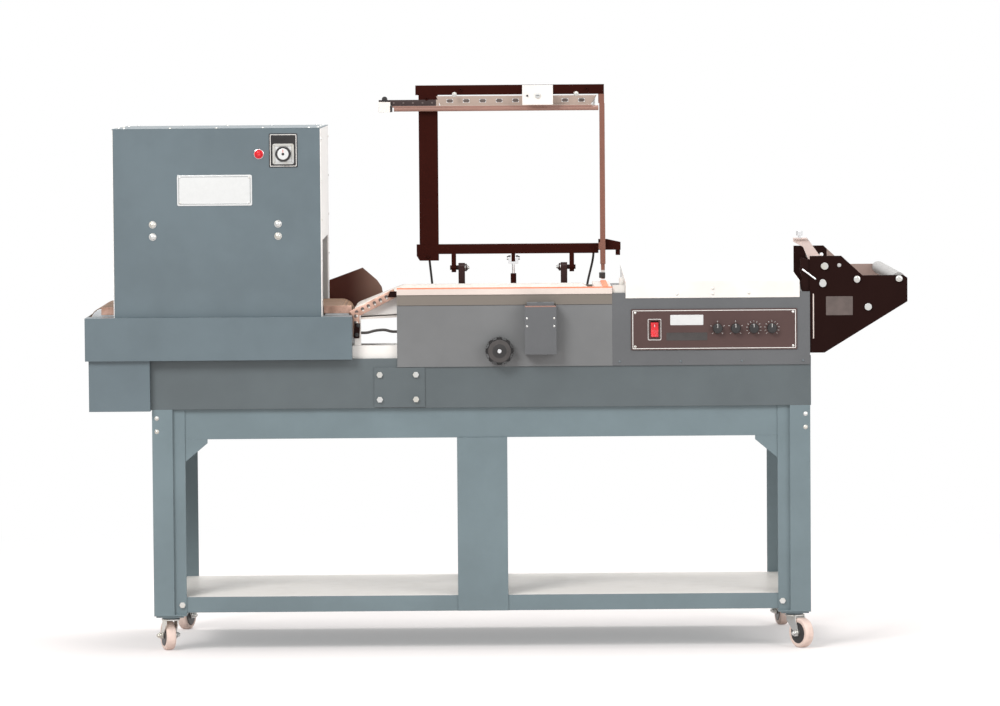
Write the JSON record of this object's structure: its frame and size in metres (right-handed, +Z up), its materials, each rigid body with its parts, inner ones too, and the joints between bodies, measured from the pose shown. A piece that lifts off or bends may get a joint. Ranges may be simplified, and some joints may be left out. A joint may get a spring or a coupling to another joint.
{
  "type": "l bar sealer",
  "caption": "L-bar film sealer with a hinged seal arm beside a shrink tunnel, on one wheeled stand with a film cradle.",
  "frame": {"origin": "on the floor, under the middle of the machine's bounding box", "axes": "+X to the operator's right along the machine, +Y from the operator's side to the back, +Z up"},
  "size_m": [2.088, 0.756, 1.4374],
  "materials": {
    "frame_paint": "slate blue-grey textured powder coat",
    "black_paint": "black powder coat",
    "white_paint": "white enamel on sheet steel",
    "galvanised": "galvanised sheet, soft spangle",
    "zinc_steel": "zinc-plated steel",
    "chrome": "bright plated steel",
    "arm_paint": "black paint over aluminium tube",
    "seal_copper": "copper alloy seal rod, heat tinted",
    "seal_pad": "red silicone rubber",
    "tunnel_mesh": "glass mesh belt coated with resin",
    "sealer_mesh": "coated mesh belt with link edges",
    "curtain_rubber": "heat-proof curtain strips",
    "black_plastic": "black moulded plastic",
    "red_lens": "clear red lens",
    "cable": "black sheathed lead",
    "roller_alu": "turned aluminium roller",
    "roller_grey": "grey sleeved roller",
    "caster_tread": "cream rubber tread on a black hub",
    "motor_enamel": "enamelled motor housing",
    "heater_steel": "heat-tinted tubular element"
  },
  "bodies": {
    "root": {"stand_legs": "frame_paint", "stand_rails": "frame_paint", "lower_shelf": "galvanised", "main_beam": "frame_paint", "frame_bolts": "zinc_steel", "tunnel_base": "frame_paint", "tunnel_casing": "frame_paint", "tunnel_liner": "galvanised", "heater_rods": "heater_steel", "motors": "motor_enamel", "tunnel_belt": "tunnel_mesh", "conveyor_frames": "galvanised", "pilot_lamp": "red_lens", "entry_guide": "black_paint", "bridge_channel": "white_paint", "sealer_body": "frame_paint", "pad_channel": "white_paint", "seal_pads": "seal_pad", "sealer_belt": "sealer_mesh", "control_box": "frame_paint", "control_panel": "black_plastic", "magnet_housing": "frame_paint", "table_brackets": "galvanised", "cradle_plates": "black_paint", "tie_rods": "chrome", "link_cable": "cable", "arm_wires": "cable", "product_tray": "white_paint"},
    "arm": {"arm_frame": "arm_paint", "front_seal_bar": "seal_copper", "side_seal_bar": "seal_copper", "catch_plate": "white_paint"},
    "strut_cylinder": {"strut_cylinder": "black_paint"},
    "strut_rod": {"strut_rod": "zinc_steel"},
    "handwheel": {"handwheel": "black_plastic"},
    "power_rocker": {"power_rocker": "red_lens"},
    "control_knob_1": {"control_knob_1": "black_plastic"},
    "control_knob_2": {"control_knob_2": "black_plastic"},
    "control_knob_3": {"control_knob_3": "black_plastic"},
    "control_knob_4": {"control_knob_4": "black_plastic"},
    "thermostat_dial": {"thermostat_dial": "black_plastic"},
    "entry_curtain": {"entry_curtain": "curtain_rubber"},
    "exit_curtain": {"exit_curtain": "curtain_rubber"},
    "blower_wheel": {"blower_wheel": "galvanised"},
    "tunnel_drive_roller": {"tunnel_drive_roller": "roller_alu"},
    "tunnel_idler_roller": {"tunnel_idler_roller": "roller_alu"},
    "sealer_drive_roller": {"sealer_drive_roller": "roller_alu"},
    "sealer_nose_roller": {"sealer_nose_roller": "roller_alu"},
    "film_roller_left": {"film_roller_left": "roller_grey"},
    "film_roller_right": {"film_roller_right": "roller_grey"},
    "film_guide": {"film_guide": "white_paint"},
    "guide_knob": {"guide_knob": "chrome"},
    "caster_fork_front_left": {"caster_fork_front_left": "zinc_steel"},
    "caster_wheel_front_left": {"caster_wheel_front_left": "caster_tread"},
    "caster_fork_front_right": {"caster_fork_front_right": "zinc_steel"},
    "caster_wheel_front_right": {"caster_wheel_front_right": "caster_tread"},
    "caster_fork_rear_left": {"caster_fork_rear_left": "zinc_steel"},
    "caster_wheel_rear_left": {"caster_wheel_rear_left": "caster_tread"},
    "caster_fork_rear_right": {"caster_fork_rear_right": "zinc_steel"},
    "caster_wheel_rear_right": {"caster_wheel_rear_right": "caster_tread"}
  },
  "joints": [
    {"name": "arm_hinge", "type": "hinge", "parent": "root", "child": "arm", "pos_m": [0, 0.087, 0.96], "axis": [1, 0, 0], "range_deg": [0, 90], "stiffness_Nm_per_rad": 11, "springref_deg": -28.65, "deforming": ["arm_wires"]},
    {"name": "strut_swing", "type": "hinge", "parent": "root", "child": "strut_cylinder", "pos_m": [0.045, 0.087, 0.8], "axis": [1, 0, 0], "range_deg": [0, 8.6]},
    {"name": "strut_stroke", "type": "slide", "parent": "strut_cylinder", "child": "strut_rod", "axis": [0, 0, -1], "range_m": [0, 0.0224]},
    {"name": "handwheel_turn", "type": "hinge", "parent": "root", "child": "handwheel", "pos_m": [0.007, -0.337, 0.766], "axis": [0, -1, 0], "continuous": true},
    {"name": "rocker_tilt", "type": "hinge", "parent": "root", "child": "power_rocker", "pos_m": [0.401, -0.341, 0.817], "axis": [1, 0, 0], "range_deg": [-14, 0]},
    {"name": "knob_1_turn", "type": "hinge", "parent": "root", "child": "control_knob_1", "pos_m": [0.561, -0.34, 0.818], "axis": [0, -1, 0], "range_deg": [-135, 135]},
    {"name": "knob_2_turn", "type": "hinge", "parent": "root", "child": "control_knob_2", "pos_m": [0.607, -0.34, 0.818], "axis": [0, -1, 0], "range_deg": [-135, 135]},
    {"name": "knob_3_turn", "type": "hinge", "parent": "root", "child": "control_knob_3", "pos_m": [0.653, -0.34, 0.818], "axis": [0, -1, 0], "range_deg": [-135, 135]},
    {"name": "knob_4_turn", "type": "hinge", "parent": "root", "child": "control_knob_4", "pos_m": [0.699, -0.34, 0.818], "axis": [0, -1, 0], "range_deg": [-135, 135]},
    {"name": "thermostat_turn", "type": "hinge", "parent": "root", "child": "thermostat_dial", "pos_m": [-0.537, -0.345, 1.269], "axis": [0, -1, 0], "range_deg": [0, 270]},
    {"name": "entry_curtain_swing", "type": "hinge", "parent": "root", "child": "entry_curtain", "pos_m": [-0.464, -0.063, 1.036], "axis": [0, 1, 0], "range_deg": [-80, 80]},
    {"name": "exit_curtain_swing", "type": "hinge", "parent": "root", "child": "exit_curtain", "pos_m": [-0.949, -0.063, 1.036], "axis": [0, 1, 0], "range_deg": [-80, 80]},
    {"name": "blower_spin", "type": "hinge", "parent": "root", "child": "blower_wheel", "pos_m": [-0.706, -0.063, 1.085], "axis": [0, 0, 1], "continuous": true},
    {"name": "tunnel_drive_spin", "type": "hinge", "parent": "root", "child": "tunnel_drive_roller", "pos_m": [-1.002, -0.063, 0.84265], "axis": [0, -1, 0], "continuous": true},
    {"name": "tunnel_idler_spin", "type": "hinge", "parent": "root", "child": "tunnel_idler_roller", "pos_m": [-0.407, -0.063, 0.84265], "axis": [0, -1, 0], "continuous": true},
    {"name": "sealer_drive_spin", "type": "hinge", "parent": "root", "child": "sealer_drive_roller", "pos_m": [0.218, -0.125, 0.897], "axis": [0, -1, 0], "continuous": true},
    {"name": "sealer_nose_spin", "type": "hinge", "parent": "root", "child": "sealer_nose_roller", "pos_m": [-0.35, -0.125, 0.861], "axis": [0, -1, 0], "continuous": true},
    {"name": "film_roller_left_spin", "type": "hinge", "parent": "root", "child": "film_roller_left", "pos_m": [0.916, 0.022, 0.941], "axis": [0, -1, 0], "continuous": true},
    {"name": "film_roller_right_spin", "type": "hinge", "parent": "root", "child": "film_roller_right", "pos_m": [1.022, 0.022, 0.941], "axis": [0, -1, 0], "continuous": true},
    {"name": "film_guide_slide", "type": "slide", "parent": "root", "child": "film_guide", "axis": [0, 1, 0], "range_m": [-0.25, 0.3]},
    {"name": "guide_knob_turn", "type": "hinge", "parent": "film_guide", "child": "guide_knob", "pos_m": [0.79, 0.005, 1.034], "axis": [0, 0, 1], "range_deg": [0, 360]},
    {"name": "caster_swivel_front_left", "type": "hinge", "parent": "root", "child": "caster_fork_front_left", "pos_m": [-0.838, -0.295, 0.083], "axis": [0, 0, 1], "continuous": true},
    {"name": "caster_roll_front_left", "type": "hinge", "parent": "caster_fork_front_left", "child": "caster_wheel_front_left", "pos_m": [-0.84665, -0.26837, 0.038], "axis": [-0.9511, -0.309, 0], "continuous": true},
    {"name": "caster_swivel_front_right", "type": "hinge", "parent": "root", "child": "caster_fork_front_right", "pos_m": [0.756, -0.295, 0.083], "axis": [0, 0, 1], "continuous": true},
    {"name": "caster_roll_front_right", "type": "hinge", "parent": "caster_fork_front_right", "child": "caster_wheel_front_right", "pos_m": [0.77206, -0.31794, 0.038], "axis": [0.8192, 0.5736, 0], "continuous": true},
    {"name": "caster_swivel_rear_left", "type": "hinge", "parent": "root", "child": "caster_fork_rear_left", "pos_m": [-0.838, 0.181, 0.083], "axis": [0, 0, 1], "continuous": true},
    {"name": "caster_roll_rear_left", "type": "hinge", "parent": "caster_fork_rear_left", "child": "caster_wheel_rear_left", "pos_m": [-0.82842, 0.20731, 0.038], "axis": [-0.9397, 0.342, 0], "continuous": true},
    {"name": "caster_swivel_rear_right", "type": "hinge", "parent": "root", "child": "caster_fork_rear_right", "pos_m": [0.756, 0.181, 0.083], "axis": [0, 0, 1], "continuous": true},
    {"name": "caster_roll_rear_right", "type": "hinge", "parent": "caster_fork_rear_right", "child": "caster_wheel_rear_right", "pos_m": [0.75114, 0.20858, 0.038], "axis": [-0.9848, -0.1736, 0], "continuous": true}
  ],
  "couplings": [
    {"joint": "strut_swing", "follows": "arm_hinge", "ratio": 0.094786},
    {"joint": "strut_stroke", "follows": "arm_hinge", "m_per_rad": 0.014139},
    {"joint": "tunnel_idler_spin", "follows": "tunnel_drive_spin", "ratio": 1},
    {"joint": "sealer_nose_spin", "follows": "sealer_drive_spin", "ratio": 1.6167}
  ]
}
